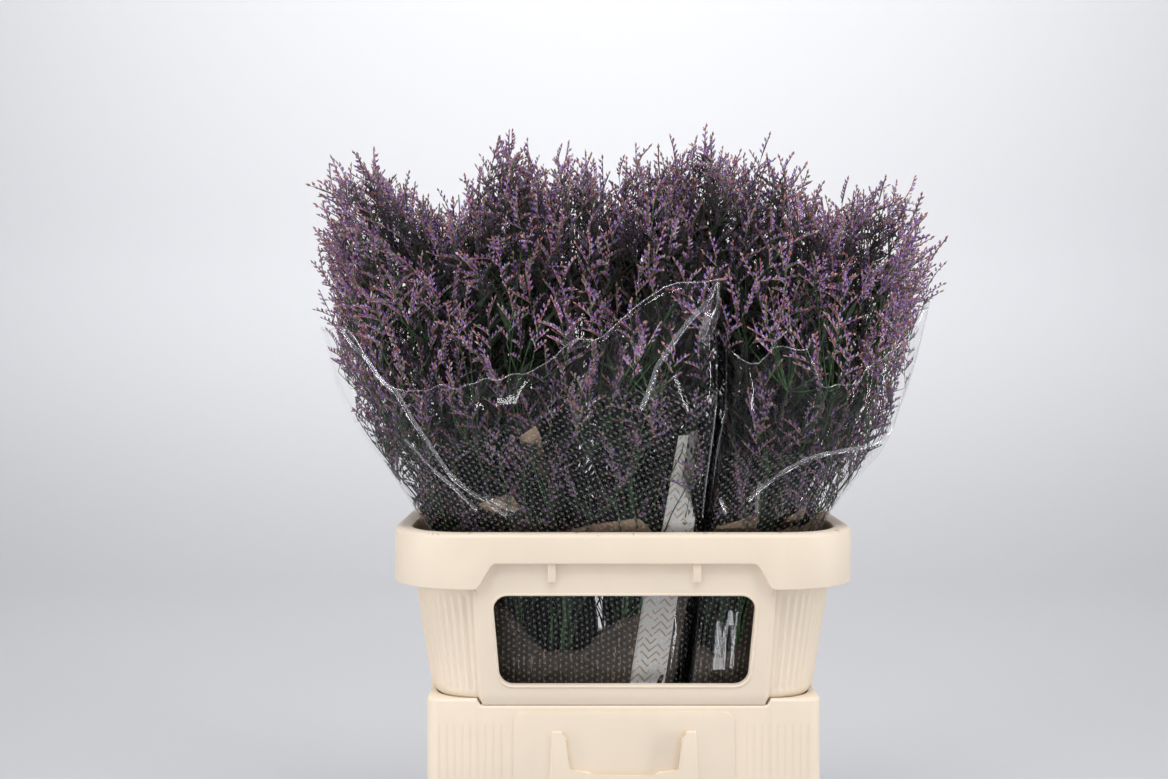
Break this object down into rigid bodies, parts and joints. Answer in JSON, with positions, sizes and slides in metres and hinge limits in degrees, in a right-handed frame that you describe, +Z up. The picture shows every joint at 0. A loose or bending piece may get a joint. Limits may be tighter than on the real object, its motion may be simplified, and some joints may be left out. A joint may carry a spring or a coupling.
{
  "type": "dried statice",
  "caption": "Sleeved bunches of statice with upright flower sprays, standing in a flower bucket under a windowed collar.",
  "frame": {"origin": "middle of the bucket's flat foot", "axes": "+Z up along the stems, the front with the window and card holder faces -Y, +X to the right seen from the front"},
  "size_m": [0.6439, 0.4985, 0.9061],
  "materials": {
    "cream_plastic": "satin, lightly scuffed",
    "clear_film": "clear and glossy, perforated",
    "kraft_paper": "matte brown",
    "printed_paper": "matte white with a gold pattern",
    "rubber_band": "matte tan",
    "statice": "matte violet flowers on green stems"
  },
  "bodies": {
    "root": {"bucket": "cream_plastic", "collar": "cream_plastic", "sleeve_front_left": "clear_film", "liner_front_left": "kraft_paper", "band_front_left": "rubber_band", "sleeve_front_right": "clear_film", "liner_front_right": "kraft_paper", "band_front_right": "rubber_band", "sleeve_back_left": "clear_film", "liner_back_left": "kraft_paper", "band_back_left": "rubber_band", "sleeve_back_right": "clear_film", "liner_back_right": "kraft_paper", "band_back_right": "rubber_band", "printed_strip": "printed_paper", "statice_front_left_01": "statice", "statice_front_left_02": "statice", "statice_front_left_03": "statice", "statice_front_left_04": "statice", "statice_front_left_05": "statice", "statice_front_left_06": "statice", "statice_front_left_07": "statice", "statice_front_left_08": "statice", "statice_front_left_09": "statice", "statice_front_left_10": "statice", "statice_front_left_11": "statice", "statice_front_right_01": "statice", "statice_front_right_02": "statice", "statice_front_right_03": "statice", "statice_front_right_04": "statice", "statice_front_right_05": "statice", "statice_front_right_06": "statice", "statice_front_right_07": "statice", "statice_front_right_08": "statice", "statice_back_left_01": "statice", "statice_back_left_02": "statice", "statice_back_left_03": "statice", "statice_back_left_04": "statice", "statice_back_left_05": "statice", "statice_back_left_06": "statice", "statice_back_left_07": "statice", "statice_back_left_08": "statice", "statice_back_left_09": "statice", "statice_back_right_01": "statice", "statice_back_right_02": "statice", "statice_back_right_03": "statice", "statice_back_right_04": "statice", "statice_back_right_05": "statice", "statice_back_right_06": "statice", "statice_back_right_07": "statice", "statice_back_right_08": "statice", "statice_back_right_09": "statice"}
  },
  "joints": []
}
